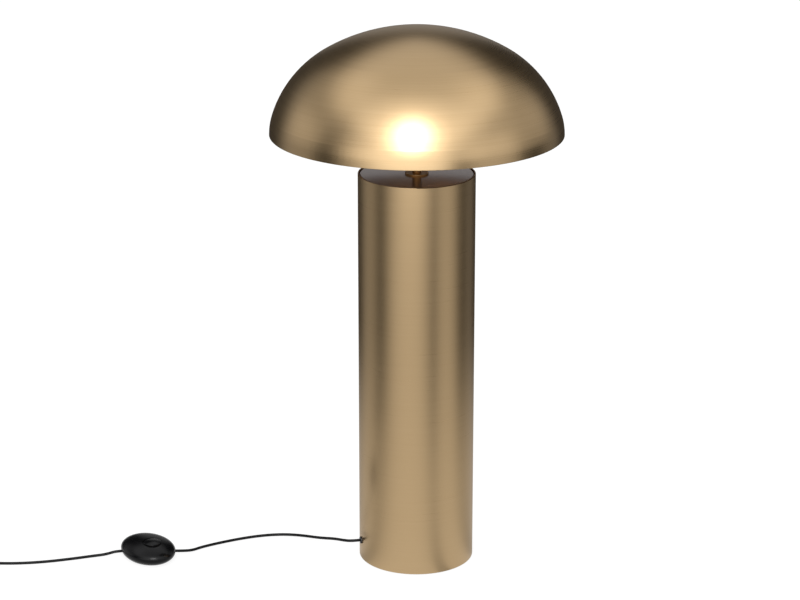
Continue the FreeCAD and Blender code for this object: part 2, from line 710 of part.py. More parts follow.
def switch_cover():
    """Moulded upper shell, with a collar that guides the button and two screw bosses."""
    off, split = size.button_offset, size.switch_split
    guide = size.button_radius + 0.3
    collar = cylinder(size.button_radius + 2.2, 20, (off, 0, size.button_top - 6.5))
    bosses = [cylinder(3.2, 20, (x, y, split)) for x, y in SWITCH_SCREWS]
    skin = cut(pebble(0), pebble(size.switch_shell))
    inside = common(pebble(0.6), fuse(collar, *bosses))
    crown = common(fuse(skin, inside), layer(split, as_size(40)))
    groove = ring(guide - 0.1, size.button_radius + 2, 10, size.button_top - 3.4, (off, 0))
    screw_bores = [cylinder(1.2, 7, (x, y, split)) for x, y in SWITCH_SCREWS]
    placed(cut(crown, cylinder(guide, 40, (off, 0, 0)), groove, *screw_bores, *lead_holes()),
           "switch_cover")


def switch_base():
    """Moulded tray with the rotor's post, the screw seats and the rests under the lead."""
    off, split, lift = size.button_offset, size.switch_split, size.switch_lift
    floor = lift + size.switch_shell
    tray = cut(common(pebble(0), layer(lift, split)),
               common(pebble(size.switch_shell), layer(floor, split + 1)))
    post = cylinder(1.7, 13.5 - floor, (off, 0, floor))
    seats = [cylinder(3.2, split - floor, (x, y, floor)) for x, y in SWITCH_SCREWS]
    rests = [box(5, 12, 2.3, on_lead_line(station, 0, floor), lead_azimuth)
             for station in (size.clamp_station, -size.clamp_station)]
    inside = common(pebble(0.6), fuse(*seats, *rests))
    sinks = [cone(3.0, 1.7, 2, (x, y, lift)) for x, y in SWITCH_SCREWS]
    shanks = [cylinder(1.7, 8, (x, y, lift)) for x, y in SWITCH_SCREWS]
    clamp_bores = [cylinder(0.9, 4, on_lead_line(station, side, floor + 0.4))
                   for station in (size.clamp_station, -size.clamp_station) for side in (-4.2, 4.2)]
    placed(cut(fuse(tray, post, inside), *sinks, *shanks, *clamp_bores, *lead_holes()), "switch_base")
    screws = [fuse(cone(2.9, 1.2, 1.8, (x, y, lift)), cylinder(1.2, 9.5, (x, y, lift + 1.8)))
              for x, y in SWITCH_SCREWS]
    placed(group(*screws), "switch_screws")
    feet = [move(turned([(0, 0), (3.4, 0), (4, lift), (0, lift)]), (x, y, 0))
            for x in (-19, 19) for y in (-12, 12)]
    placed(group(*feet), "switch_feet")


def ratchet_tooth(azimuth, level, upward):
    """One sawtooth: a wedge across the ring, steep on one side."""
    half = size.tooth_width * 0.5
    tooth = bind(new("Part::Wedge"), Xmin=size.tooth_inner, Xmax=size.tooth_outer, Ymin=0,
                 Ymax=size.tooth_height, Zmin=-half, Zmax=half, X2min=size.tooth_inner,
                 X2max=size.tooth_outer, Z2min=-half, Z2max=0.2 - half)
    tilt = Rotation(X_AXIS, 90 if upward else -90)
    return move(tooth, (size.button_offset, 0, level), Rotation(Z_AXIS, azimuth).multiply(tilt))


def ratchet(level, upward, first):
    step = 360.0 / TOOTH_COUNT
    return [ratchet_tooth(first + step * tooth, level, upward) for tooth in range(TOOTH_COUNT)]


def switch_mechanism():
    """Push button whose sloping teeth turn a ratchet rotor, which carries the contact bridge."""
    off, low = size.button_offset, size.rotor_level
    disc = low + size.rotor_disc
    tip = disc + size.tooth_height
    rotor = fuse(cylinder(size.rotor_radius, size.rotor_disc, (off, 0, low)),
                 cylinder(3.3, size.tooth_height, (off, 0, disc)), *ratchet(disc, True, 0.0))
    placed(cut(rotor, cylinder(2.0, 20, (off, 0, 0))), "switch_rotor")
    strip = box(4, 17.6, 0.6, (off, 0, low - 0.6))
    dimples = [cylinder(1.2, 0.4, (off, y, low - 1)) for y in (-7.4, 7.4)]
    placed(cut(fuse(strip, *dimples), cylinder(2.0, 20, (off, 0, 0))), "contact_bridge")
    radius, top, dish = size.button_radius, size.button_top, size.button_dish
    root = tip + size.button_travel + 0.3
    under = top - 8
    pocket = under + 3.4
    edge = 0.6
    crown = ((radius - edge) * (radius - edge) + dish * dish) / (dish * 2)
    cap = turned([(0, pocket), (3.6, pocket), (3.6, root), (6.8, root), (6.8, under),
                  (radius + 1.3, under), (radius + 1.3, under + 1.2), (radius, under + 1.2),
                  (radius, top - dish - edge, edge), (radius - edge, top - dish, crown), (0, top)])
    move(cap, (off, 0, 0))
    placed(fuse(cap, *ratchet(root, False, 15.5)), "switch_button")
    wire_radius, mean_radius, coils = 0.35, 2.9, 5
    spring_low, spring_high = tip.value + wire_radius + 0.05, pocket.value - wire_radius - 0.05

    def place(angle):
        rise = (spring_high - spring_low) * angle / (2 * math.pi * coils)
        return Vector(off.value + mean_radius * math.cos(angle), mean_radius * math.sin(angle),
                      spring_low + rise)

    placed(from_shape(swept(wound_wire(place, coils), wire_radius, "button_spring")), "button_spring")


def switch_contacts():
    """Fixed contacts under the bridge, with their terminals and screws."""
    floor = size.switch_lift + size.switch_shell
    off = size.button_offset
    finger_level = size.rotor_level - 1.9
    fingers, blocks, screws = [], [], []
    for side in (-1, 1):
        finger = box(12.2, 3, 0.6, (off - 4.5, 7.6 * side, finger_level))
        rib = box(0.6, 3, finger_level - floor, (off - 4.5, 7.6 * side, floor))
        fingers.append(fuse(finger, rib))
        block_place = (off - 13.6, 9.5 * side)
        block = box(6, 6, 6, (*block_place, floor))
        blocks.append(cut(block, cylinder(1.5, 6, (*block_place, floor))))
        screws.append(slotted_screw(2.5, 1.5, 1.45, 4.4, (*block_place, floor + 6)))
    placed(group(*fingers), "fixed_contacts")
    placed(group(*blocks), "switch_terminals")
    placed(group(*screws), "switch_terminal_screws")


def lead_clamps():
    """Bars screwed down over the lead just inside each end of the housing."""
    level = size.lead_entry + size.lead_radius + 0.05
    bars, screws = [], []
    for station in (size.clamp_station, -size.clamp_station):
        bores = [cylinder(1.0, 1.6, on_lead_line(station, side, level)) for side in (-4.2, 4.2)]
        bars.append(cut(box(4.6, 11.4, 1.6, on_lead_line(station, 0, level), lead_azimuth), *bores))
        for side in (-4.2, 4.2):
            screws.append(slotted_screw(1.7, 1.2, 0.9, 6.8, on_lead_line(station, side, level + 1.6)))
    placed(group(*bars), "lead_clamps")
    placed(group(*screws), "lead_clamp_screws")


# ---------------------------------------------------------------- lead, its cores and the plug
lead = size.lead_radius.value


def at_grommet(radius, level=GROMMET_LEVEL):
    turn = math.radians(GROMMET_AZIMUTH)
    return (radius * math.cos(turn), radius * math.sin(turn), level)


GROMMET_FACE = size.column_radius.value + 1.8
LEAD_TO_SWITCH = [
    at_grommet(GROMMET_FACE), at_grommet(85.5), (-93.0, -18.0, 23.6), (-104.5, -1.0, 18.3),
    (-125.0, 20.5, 10.0), (-149.0, 42.5, 3.9), (-173.0, 50.8, lead), (-200.0, 47.0, lead),
    (-227.0, 37.0, lead), (-253.0, 23.6, lead), (-277.0, 9.0, lead), (-288.5, -4.0, 2.7),
    (-302.0, -15.5, 7.0), (-321.5, -15.5, 7.0)]
LEAD_FROM_SWITCH = [
    (-365.5, -15.5, 7.0), (-383.0, -15.5, 7.0), (-398.0, -17.0, 2.5), (-414.0, -20.4, lead),
    (-441.0, -30.0, lead), (-475.0, -40.0, lead), (-512.0, -45.0, lead), (-545.0, -43.5, lead)]
COIL_CENTRE = Vector(-585.0, -64.0, 0)
PLUG_FACE = Vector(-610.6, -165.0, 0)
INNER_LEAD = [(GROMMET_FACE, GROMMET_LEVEL), (64, GROMMET_LEVEL), (57, 32), (57, 50), (53, 84),
              (43, 140), (31, 197), (20.5, 255), (12, 313), (5.5, 371), (1.8, 428), (0.2, 470),
              (0.6, 505), (0, 539)]


def inner_lead():
    """Lead inside the column, from the grommet up through the lamp tube, with its cable tie."""
    route = [at_grommet(radius, level) for radius, level in INNER_LEAD]
    keep(from_shape(swept(routed_wire(route, "inner_lead"), lead, "inner_lead")), "inner_lead")
    place = at_grommet(57)[:2]
    band = ring(size.lead_radius + 0.05, size.lead_radius + 1.2, 2.6, 38.4, place)
    head_place = at_grommet(57 - lead - 2.4)[:2]
    head = box(3, 4.4, 4, (*head_place, 37.7), GROMMET_AZIMUTH)
    keep(fuse(band, head), "cable_tie")


def core(points, name):
    return from_shape(swept(routed_wire(points, name), size.core_radius.value, name))


def cores():
    """The lead's cores: two to the lampholder's terminals, three inside the foot switch."""
    holder_cores = [core([(0.9 * side, 0, 539.3), (2.2 * side, 1.0, 543.0), (8.0 * side, 3.5, 544.6),
                          (9.5 * side, 3.9, 547.6), (9.5 * side, 3.9, 550.5)], "holder core")
                    for side in (-1, 1)]
    keep(group(*holder_cores), "holder_cores")
    switch_cores = [
        core([(12.1, 17.2, 7.0), (9.8, 14.2, 6.8), (5.8, 11.7, 5.9), (1.9, 11.0, 5.6)], "switch core"),
        core([(-12.2, -17.2, 7.0), (-10.8, -14.6, 6.8), (-7.8, -11.9, 5.9), (-4.7, -11.0, 5.6)],
             "switch core"),
        core([(11.4, 18.6, 7.0), (7.0, 17.4, 6.0), (0.5, 16.8, 4.6), (-6.5, 13.6, 4.0),
              (-9.8, 6.2, 3.8), (-10.2, -2.5, 3.8), (-11.6, -10.0, 4.6), (-12.0, -16.0, 6.4)],
             "switch core")]
    placed(group(*switch_cores), "switch_cores")


def coil_place(angle):
    """A point of the winding, counter-clockwise from its far side, where the lead arrives.

    It spirals in and out at one rate, a layer each way, and climbs to the next layer in the
    half turn where the spiral reverses.
    """
    layer_angle = size.coil_turns.value / 4 * 2 * math.pi
    reach = size.turn_pitch.value * size.coil_turns.value / 4
    phase = (angle / layer_angle) % 2
    inward = phase if phase < 1 else 2 - phase
    radius = size.coil_mean_radius.value + reach * (0.5 - inward)
    level = lead
    for reversal in (1, 2, 3):
        share = (angle - reversal * layer_angle) / math.pi + 0.5
        share = min(max(share, 0.0), 1.0)
        level += size.layer_pitch.value * share * share * (3 - 2 * share)
    azimuth = math.pi / 2 + angle
    return COIL_CENTRE + Vector(radius * math.cos(azimuth), radius * math.sin(azimuth), level)


def free_lead():
    """The lead outside the lamp: to the foot switch, on to the coil, and down to the plug."""
    keep(from_shape(swept(routed_wire(LEAD_TO_SWITCH, "lead_to_switch"), lead, "lead_to_switch")),
         "lead_to_switch")
    winding = wound_wire(coil_place, size.coil_turns.value, 2 * lead)
    print_self_gap(winding, lead, 2 * math.pi * size.coil_mean_radius.value, "lead_coil")
    keep(from_shape(swept(winding, lead, "lead_coil")), "lead_coil")
    ends = winding.OrderedVertexes
    arrival, departure = ends[0].Point, ends[-1].Point
    before_arrival = arrival + (arrival - ends[1].Point).normalize() * 18
    route = LEAD_FROM_SWITCH + [tuple(before_arrival), tuple(arrival)]
    keep(from_shape(swept(routed_wire(route, "lead_from_switch"), lead, "lead_from_switch")),
         "lead_from_switch")
    away = departure + (departure - ends[-2].Point).normalize() * 8
    relief_end = PLUG_FACE.y + size.plug_length.value + size.relief_length.value
    plug_axis = size.plug_thick.value / 2
    tail = [tuple(departure), tuple(away), (PLUG_FACE.x, away.y - 11.5, 11.0),
            (PLUG_FACE.x, relief_end + 8.5, plug_axis), (PLUG_FACE.x, relief_end, plug_axis)]
    keep(from_shape(swept(routed_wire(tail, "lead_tail"), lead, "lead_tail")), "lead_tail")


def plug():
    """Flat two-pin mains plug that lies on its broad side, with its strain relief."""
    length, half, thick = size.plug_length, size.plug_width * 0.5, size.plug_thick
    neck = 5.5
    plan = plate([(-half, 0), (half, 0), (half, 9, -48), (neck, length - 3), (neck, length),
                  (-neck, length), (-neck, length - 3, -48), (-half, 9)], thick)
    flat, side = size.plug_flat * 0.5, thick * 0.5
    section = plate([(half, -1.2), (half, 1.2), (flat, side), (-flat, side), (-half, 1.2), (-half, -1.2),
                     (-flat, -side), (flat, -side)], length)
    move(section, (0, length, side), Rotation(X_AXIS, 90))
    taper = plate([(0, -side), (length - 12, -side), (length, -4.9), (length, 4.9),
                   (length - 12, side), (0, side)], size.plug_width)
    move(taper, (-half, 0, side), Rotation(Z_AXIS, 90).multiply(Rotation(X_AXIS, 90)))
    body = common(plan, section, taper)
    body.Placement = Placement(PLUG_FACE, Rotation())
    keep(body, "plug_body")
    ribs = 6
    step = size.relief_length / ribs
    outline = [(0, 0)]
    for rib in range(ribs):
        radius = 4.6 - 0.3 * rib
        low = step * rib
        outline += [(radius, low), (radius, low + step * 0.65), (radius - 0.8, low + step * 0.65),
                    (radius - 0.8, low + step)]
    outline.append((0, size.relief_length))
    relief = turned(outline)
    move(relief, (PLUG_FACE.x, PLUG_FACE.y + length, side), Rotation(X_AXIS, -90))
    keep(relief, "plug_relief")
    radius, core_radius = size.pin_radius, size.pin_radius - 0.5
    sleeve, tip = size.pin_sleeve, size.pin_length
    pins, sleeves = [], []
    for across in (-size.pin_spacing * 0.5, size.pin_spacing * 0.5):
        spot = (PLUG_FACE.x + across, PLUG_FACE.y, side)
        pin = turned([(0, 0), (core_radius, 0), (core_radius, sleeve), (radius, sleeve),
                      (radius, tip - 1.4, 1.5), (radius - 1.3, tip), (0, tip)])
        pins.append(move(pin, spot, Rotation(X_AXIS, 90)))
        sleeve_ring = turned([(core_radius, 0), (radius, 0), (radius, sleeve), (core_radius, sleeve)])
        sleeves.append(move(sleeve_ring, spot, Rotation(X_AXIS, 90)))
    keep(group(*pins), "plug_pins")
    keep(group(*sleeves), "pin_sleeves")


# ---------------------------------------------------------------- build, test and write
for build_piece in (column_tube, column_cap, weighted_base, base_fixing, cord_grommet, stem, lampholder,
                    holder_insert, bulb, shade_dome, shade_spider, switch_cover, switch_base,
                    switch_mechanism, switch_contacts, lead_clamps, inner_lead, cores, free_lead, plug):
    build_piece()
doc.recompute()

for obj in doc.Objects:
    if "Invalid" in obj.State or "Error" in obj.State:
        raise ValueError(f"{obj.Name} ({obj.Label}) failed: {obj.State}")
for node, obj in subparts.items():
    if obj.Shape.isNull() or not obj.Shape.isValid() or not obj.Shape.Solids:
        raise ValueError(f"{node} has no valid shape")

os.makedirs("parts", exist_ok=True)
for node, obj in subparts.items():
    obj.Shape.exportStep(os.path.join("parts", f"{node}.step"))
print(f"{len(subparts)} sub-parts written")
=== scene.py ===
"""Looks of the mushroom floor lamp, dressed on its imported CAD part.

Metres, +Z up, origin on the column's axis on the floor. The front is -Y. Sizes of the lead are in
millimetres, as in the part's source.
"""
import json
import math

import bpy
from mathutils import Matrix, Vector


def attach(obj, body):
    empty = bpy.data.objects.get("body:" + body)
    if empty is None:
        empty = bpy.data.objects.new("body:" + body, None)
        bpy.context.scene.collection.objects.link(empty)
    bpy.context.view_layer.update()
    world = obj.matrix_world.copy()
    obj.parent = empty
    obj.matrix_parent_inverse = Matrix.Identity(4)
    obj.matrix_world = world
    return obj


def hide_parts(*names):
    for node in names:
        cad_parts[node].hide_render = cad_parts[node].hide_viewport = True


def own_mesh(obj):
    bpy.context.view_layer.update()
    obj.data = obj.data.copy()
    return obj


MM = 0.001
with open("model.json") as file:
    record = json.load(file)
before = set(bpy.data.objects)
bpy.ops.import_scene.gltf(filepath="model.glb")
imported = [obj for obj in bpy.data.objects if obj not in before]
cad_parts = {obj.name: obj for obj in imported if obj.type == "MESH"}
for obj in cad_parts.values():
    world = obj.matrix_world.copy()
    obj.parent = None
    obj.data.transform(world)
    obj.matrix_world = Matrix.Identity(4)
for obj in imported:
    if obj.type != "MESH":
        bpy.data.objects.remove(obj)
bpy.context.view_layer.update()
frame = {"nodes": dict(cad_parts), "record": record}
nodes = frame["nodes"]


def placed(name, data):
    """A new object of the scene."""
    made = bpy.data.objects.new(name, data)
    bpy.context.scene.collection.objects.link(made)
    return made


# ---------------------------------------------------------------- camera
CAMERA_PLACE = (0.0, -2.8556, 1.2653)
CAMERA_PITCH = 17.935
CAMERA_YAW = 0.412
LENS = 108.4
SENSOR = 36.0


def make_camera():
    camera = placed("camera", bpy.data.cameras.new("camera"))
    camera.data.lens = LENS
    camera.data.sensor_width = SENSOR
    camera.location = CAMERA_PLACE
    camera.rotation_euler = (math.radians(90.0 - CAMERA_PITCH), 0.0, math.radians(CAMERA_YAW))
    bpy.context.scene.camera = camera


# ---------------------------------------------------------------- lead
LEAD_RADIUS = 1.8
COLUMN_RADIUS = 72.5
GROMMET_AZIMUTH = 196.0
GROMMET_LEVEL = 25.0
GROMMET_FACE = COLUMN_RADIUS + 1.8
FREE_OF_GROMMET = 85.5
SWITCH_Y, SWITCH_ENTRY = -15.5, 7.0

COIL_CENTRE = Vector((-585.0, -64.0, 0.0))
COIL_TURNS = 9.25
COIL_LAYERS = 4
COIL_MEAN_RADIUS = 20.7
TURN_PITCH = 4.2
LAYER_PITCH = 4.3
POINTS_PER_TURN = 24

PLUG_X, PLUG_FACE_Y, PLUG_AXIS = -610.6, -165.0, 6.85
PLUG_LENGTH, RELIEF_LENGTH = 35.0, 24.0
RELIEF_END_Y = PLUG_FACE_Y + PLUG_LENGTH + RELIEF_LENGTH
STRAIGHT_TO_RELIEF = 8.5


def at_grommet(radius):
    """A place on the grommet's axis."""
    turn = math.radians(GROMMET_AZIMUTH)
    return (radius * math.cos(turn), radius * math.sin(turn), GROMMET_LEVEL)


LEAD_TO_SWITCH = [
    at_grommet(GROMMET_FACE), at_grommet(FREE_OF_GROMMET),
    (-93.0, -18.0, 23.6), (-104.5, -1.0, 18.3), (-125.0, 20.5, 10.0), (-149.0, 42.5, 3.9),
    (-173.0, 50.8, LEAD_RADIUS), (-200.0, 47.0, LEAD_RADIUS), (-227.0, 37.0, LEAD_RADIUS),
    (-253.0, 23.6, LEAD_RADIUS), (-277.0, 9.0, LEAD_RADIUS), (-288.5, -4.0, 2.7),
    (-302.0, SWITCH_Y, SWITCH_ENTRY), (-321.5, SWITCH_Y, SWITCH_ENTRY)]
LEAD_FROM_SWITCH = [
    (-365.5, SWITCH_Y, SWITCH_ENTRY), (-383.0, SWITCH_Y, SWITCH_ENTRY), (-398.0, -17.0, 2.5),
    (-414.0, -20.4, LEAD_RADIUS), (-441.0, -30.0, LEAD_RADIUS), (-475.0, -40.0, LEAD_RADIUS),
    (-512.0, -45.0, LEAD_RADIUS), (-545.0, -43.5, LEAD_RADIUS), (-563.4, -37.9, LEAD_RADIUS)]
LEAD_TAIL = [
    (-610.86, -75.6, 14.7), (PLUG_X, -87.1, 11.0),
    (PLUG_X, RELIEF_END_Y + STRAIGHT_TO_RELIEF, PLUG_AXIS), (PLUG_X, RELIEF_END_Y, PLUG_AXIS)]


def coil_point(angle, widen):
    """A place of the winding: it spirals in and out, and climbs a layer at each reversal."""
    layer_angle = COIL_TURNS / COIL_LAYERS * 2 * math.pi
    reach = TURN_PITCH * COIL_TURNS / COIL_LAYERS
    phase = (angle / layer_angle) % 2
    inward = phase if phase < 1 else 2 - phase
    radius = (COIL_MEAN_RADIUS + reach * (0.5 - inward)) * widen
    level = LEAD_RADIUS
    for reversal in range(1, COIL_LAYERS):
        share = (angle - reversal * layer_angle) / math.pi + 0.5
        share = min(max(share, 0.0), 1.0)
        level += LAYER_PITCH * share * share * (3 - 2 * share)
    azimuth = math.pi / 2 + angle
    return COIL_CENTRE + Vector((radius * math.cos(azimuth), radius * math.sin(azimuth), level))


def coil_points():
    """Control points of all turns, a little outside them, because the smooth line cuts inside."""
    count = round(COIL_TURNS * POINTS_PER_TURN)
    widen = 1 / math.cos(math.pi / POINTS_PER_TURN)
    return [coil_point(2 * math.pi * index / POINTS_PER_TURN, widen) for index in range(count + 1)]


def lead_curve(name, points):
    """A smooth lead along control points given in millimetres."""
    data = bpy.data.curves.new(name, "CURVE")
    data.dimensions = "3D"
    data.bevel_depth = 1.0
    data.bevel_resolution = 6
    data.resolution_u = 8
    data.use_fill_caps = True
    spline = data.splines.new("NURBS")
    spline.points.add(len(points) - 1)
    for control, point in zip(spline.points, points):
        control.co = (*(Vector(point) * MM), 1.0)
        control.radius = LEAD_RADIUS * MM
    spline.order_u = 3
    spline.use_endpoint_u = True
    return placed(name, data)


def make_leads():
    """The lead on both sides of the foot switch, in place of its stand-ins in the part."""
    to_switch = lead_curve("lead_lamp_to_switch", LEAD_TO_SWITCH)
    from_switch = lead_curve("lead_switch_to_plug", LEAD_FROM_SWITCH + coil_points() + LEAD_TAIL)
    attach(to_switch, "lamp")
    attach(from_switch, "lamp")
    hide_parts("lead_to_switch")
    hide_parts("lead_from_switch", "lead_coil", "lead_tail")
    return [to_switch, from_switch]


# ---------------------------------------------------------------- node helpers
WHITE = (1.0, 1.0, 1.0)
# nearly all values of a noise lie in this range
NOISE_SPREAD = (0.3, 0.7)
NARROW_SPREAD = (0.35, 0.65)


def add(tree, kind, settings=None, inputs=None):
    """A node with its settings; an input is a value or another node's socket."""
    made = tree.nodes.new(kind)
    for name, value in (settings or {}).items():
        setattr(made, name, value)
    for key, value in (inputs or {}).items():
        if isinstance(value, bpy.types.NodeSocket):
            tree.links.new(value, made.inputs[key])
        else:
            made.inputs[key].default_value = value
    return made


def calculate(tree, operation, *values):
    operands = dict(enumerate(values))
    return add(tree, "ShaderNodeMath", {"operation": operation}, operands).outputs[0]


def weighted(tree, one, one_share, other, other_share):
    """The sum of two values, each times its share."""
    return calculate(tree, "ADD", calculate(tree, "MULTIPLY", one, one_share),
                     calculate(tree, "MULTIPLY", other, other_share))


def vector_calculate(tree, operation, *values):
    operands = dict(enumerate(values))
    return add(tree, "ShaderNodeVectorMath", {"operation": operation}, operands).outputs


def blend(tree, share, one, other):
    inputs = {0: share, 2: one, 3: other}
    return add(tree, "ShaderNodeMix", {"data_type": "FLOAT"}, inputs).outputs[0]


def mixed(tree, share, one, other):
    """A mix of two colours, each a socket or three numbers."""
    one, other = ((*colour, 1.0) if isinstance(colour, tuple) else colour
                  for colour in (one, other))
    inputs = {0: share, 6: one, 7: other}
    return add(tree, "ShaderNodeMix", {"data_type": "RGBA"}, inputs).outputs[2]


def shader_choice(tree, share, one, other):
    return add(tree, "ShaderNodeMixShader", inputs={0: share, 1: one, 2: other}).outputs[0]


def ranged(tree, value, low, high, to_low=0.0, to_high=1.0, smooth=False):
    kind = "SMOOTHSTEP" if smooth else "LINEAR"
    inputs = {"Value": value, "From Min": low, "From Max": high,
              "To Min": to_low, "To Max": to_high}
    return add(tree, "ShaderNodeMapRange", {"interpolation_type": kind}, inputs).outputs[0]


def place(tree):
    """The point in the lamp's own frame."""
    return add(tree, "ShaderNodeTexCoord").outputs["Object"]


def stretched(tree, vector, scale):
    return add(tree, "ShaderNodeMapping", inputs={"Vector": vector, "Scale": scale}).outputs[0]


def noise(tree, vector, scale, detail=2.0, roughness=0.5):
    inputs = {"Vector": vector, "Scale": scale, "Detail": detail, "Roughness": roughness}
    return add(tree, "ShaderNodeTexNoise", inputs=inputs).outputs["Fac"]


def bump(tree, height, distance, strength=1.0, below=None):
    inputs = {"Height": height, "Distance": distance, "Strength": strength}
    if below is not None:
        inputs["Normal"] = below
    return add(tree, "ShaderNodeBump", inputs=inputs).outputs[0]


def surface(name, metallic=0.0, **constants):
    """A material's node tree and shader, with the values that are the same all over."""
    material = bpy.data.materials.new(name)
    material.use_nodes = True
    shader = material.node_tree.nodes["Principled BSDF"]
    shader.inputs["Metallic"].default_value = metallic
    for key, value in constants.items():
        socket = key.replace("_", " ").title().replace("Ior", "IOR")
        shader.inputs[socket].default_value = value
    return material, material.node_tree, shader


def connect(tree, shader, colour, roughness, normal=None):
    tree.links.new(colour, shader.inputs["Base Color"])
    tree.links.new(roughness, shader.inputs["Roughness"])
    if normal is not None:
        tree.links.new(normal, shader.inputs["Normal"])


# ---------------------------------------------------------------- metals
BRASS = (0.560, 0.400, 0.225)
BRASS_DEEP = (0.500, 0.348, 0.185)


def column_brass():
    """Satin brass brushed round the column: fine level lines of uneven length."""
    material, tree, shader = surface("column_brass", metallic=1.0, anisotropic=0.75)
    here = place(tree)
    fine = noise(tree, stretched(tree, here, (14, 14, 2600)), 1.0, detail=3.0, roughness=0.7)
    broad = noise(tree, stretched(tree, here, (9, 9, 420)), 1.0, roughness=0.6)
    clouds = noise(tree, here, 9.0)
    lines = weighted(tree, fine, 0.6, broad, 0.4)
    tone = weighted(tree, lines, 0.75, clouds, 0.25)
    colour = mixed(tree, ranged(tree, tone, 0.1, 0.8), BRASS_DEEP, BRASS)
    roughness = ranged(tree, lines, *NOISE_SPREAD, 0.27, 0.31)
    connect(tree, shader, colour, roughness, bump(tree, lines, distance=0.00003, strength=0.14))
    round_axis = {"direction_type": "RADIAL", "axis": "Z"}
    tangent = add(tree, "ShaderNodeTangent", round_axis).outputs[0]
    tree.links.new(tangent, shader.inputs["Tangent"])
    return material


def ring_lines(tree, fineness):
    """Faint lines of a lathe, round the lamp's axis: noise over distance from it and height."""
    x, y, z = add(tree, "ShaderNodeSeparateXYZ", inputs={0: place(tree)}).outputs
    radius = calculate(tree, "SQRT", weighted(tree, x, x, y, y))
    rings = add(tree, "ShaderNodeCombineXYZ", inputs={0: radius, 1: z}).outputs[0]
    return noise(tree, rings, fineness, detail=3.0, roughness=0.6)


def shade_brass():
    """Satin lacquered brass of the spun dome."""
    material, tree, shader = surface("shade_brass", metallic=1.0)
    lines = ring_lines(tree, 900.0)
    clouds = noise(tree, place(tree), 7.0, detail=3.0)
    grain = noise(tree, place(tree), 1800.0)
    tone = weighted(tree, lines, 0.5, clouds, 0.5)
    colour = mixed(tree, ranged(tree, tone, *NARROW_SPREAD), BRASS_DEEP, BRASS)
    roughness = ranged(tree, tone, *NOISE_SPREAD, 0.26, 0.32)
    skin = bump(tree, grain, distance=0.00002, strength=0.4)
    relief = bump(tree, lines, distance=0.00003, strength=0.3, below=skin)
    connect(tree, shader, colour, roughness, relief)
    return material


def plate_brass():
    """Polished plate on top of the column, turned on a lathe."""
    material, tree, shader = surface("cap_brass", metallic=0.8)
    lines = ring_lines(tree, 1500.0)
    clouds = noise(tree, place(tree), 22.0)
    colour = mixed(tree, clouds, (0.52, 0.455, 0.44), (0.60, 0.525, 0.51))
    roughness = ranged(tree, lines, *NOISE_SPREAD, 0.10, 0.17)
    connect(tree, shader, colour, roughness, bump(tree, lines, distance=0.00001, strength=0.4))
    return material


def plain_metal(name, light, dark, glossy, dull, grain_scale=900.0, depth=0.00002):
    """Metal with a fine grain, cloudy colour and uneven gloss."""
    material, tree, shader = surface(name, metallic=1.0)
    grain = noise(tree, place(tree), grain_scale, detail=3.0, roughness=0.6)
    clouds = noise(tree, place(tree), 60.0)
    colour = mixed(tree, ranged(tree, clouds, *NOISE_SPREAD), dark, light)
    roughness = ranged(tree, grain, *NOISE_SPREAD, glossy, dull)
    connect(tree, shader, colour, roughness, bump(tree, grain, depth, strength=0.5))
    return material


def zinc_steel():
    return plain_metal("zinc_steel", (0.62, 0.62, 0.60), (0.48, 0.48, 0.47), 0.28, 0.45)


def ballast_iron():
    """Rough cast iron."""
    return plain_metal("ballast_iron", (0.17, 0.17, 0.175), (0.09, 0.09, 0.095), 0.5, 0.75,
                       grain_scale=350.0, depth=0.0003)


def contact_brass():
    return plain_metal("contact_brass", (0.78, 0.60, 0.30), (0.68, 0.50, 0.24), 0.15, 0.3)


def bulb_alu():
    return plain_metal("bulb_alu", (0.78, 0.78, 0.76), (0.66, 0.66, 0.64), 0.18, 0.3)


def pin_metal():
    return plain_metal("pin_metal", (0.72, 0.70, 0.66), (0.60, 0.58, 0.54), 0.14, 0.26)


# ---------------------------------------------------------------- everything else
DEEP_BLACK = (0.004, 0.004, 0.0045), (0.0025, 0.0025, 0.003)


def moulded(name, light, dark, glossy, dull, grain_scale=2200.0, depth=0.00002, **constants):
    """Moulded plastic, rubber or ceramic: a fine eroded skin over a nearly even colour."""
    material, tree, shader = surface(name, **constants)
    grain = noise(tree, place(tree), grain_scale, roughness=0.6)
    clouds = noise(tree, place(tree), 40.0)
    colour = mixed(tree, ranged(tree, clouds, *NOISE_SPREAD), dark, light)
    roughness = ranged(tree, clouds, *NOISE_SPREAD, glossy, dull)
    connect(tree, shader, colour, roughness, bump(tree, grain, depth, strength=0.4))
    return material


def base_steel():
    """Black powder coat of the base plate and the shade's spider."""
    return moulded("base_steel", (0.035, 0.035, 0.036), (0.02, 0.02, 0.021), 0.35, 0.5,
                   grain_scale=700.0, depth=0.00008)


def holder_black():
    return moulded("holder_black", (0.022, 0.022, 0.023), (0.014, 0.014, 0.015), 0.32, 0.42)


def switch_black():
    return moulded("switch_black", *DEEP_BLACK, 0.17, 0.24, specular_ior_level=0.20)


def ceramic():
    return moulded("ceramic", (0.80, 0.78, 0.73), (0.72, 0.70, 0.65), 0.55, 0.7)


def lead_sheath():
    return moulded("lead_sheath", *DEEP_BLACK, 0.38, 0.50, specular_ior_level=0.18)


def core_brown():
    return moulded("core_brown", (0.20, 0.08, 0.035), (0.14, 0.055, 0.025), 0.35, 0.45)


def tie_black():
    return moulded("tie_black", (0.02, 0.02, 0.021), (0.012, 0.012, 0.013), 0.4, 0.5)


def foot_rubber():
    return moulded("foot_rubber", (0.028, 0.028, 0.028), (0.018, 0.018, 0.018), 0.65, 0.8)


def bulb_white():
    return moulded("bulb_white", (0.82, 0.82, 0.80), (0.76, 0.76, 0.74), 0.3, 0.38)


def insulator_black():
    return moulded("insulator_black", (0.012, 0.012, 0.012), (0.007, 0.007, 0.007), 0.15, 0.25)


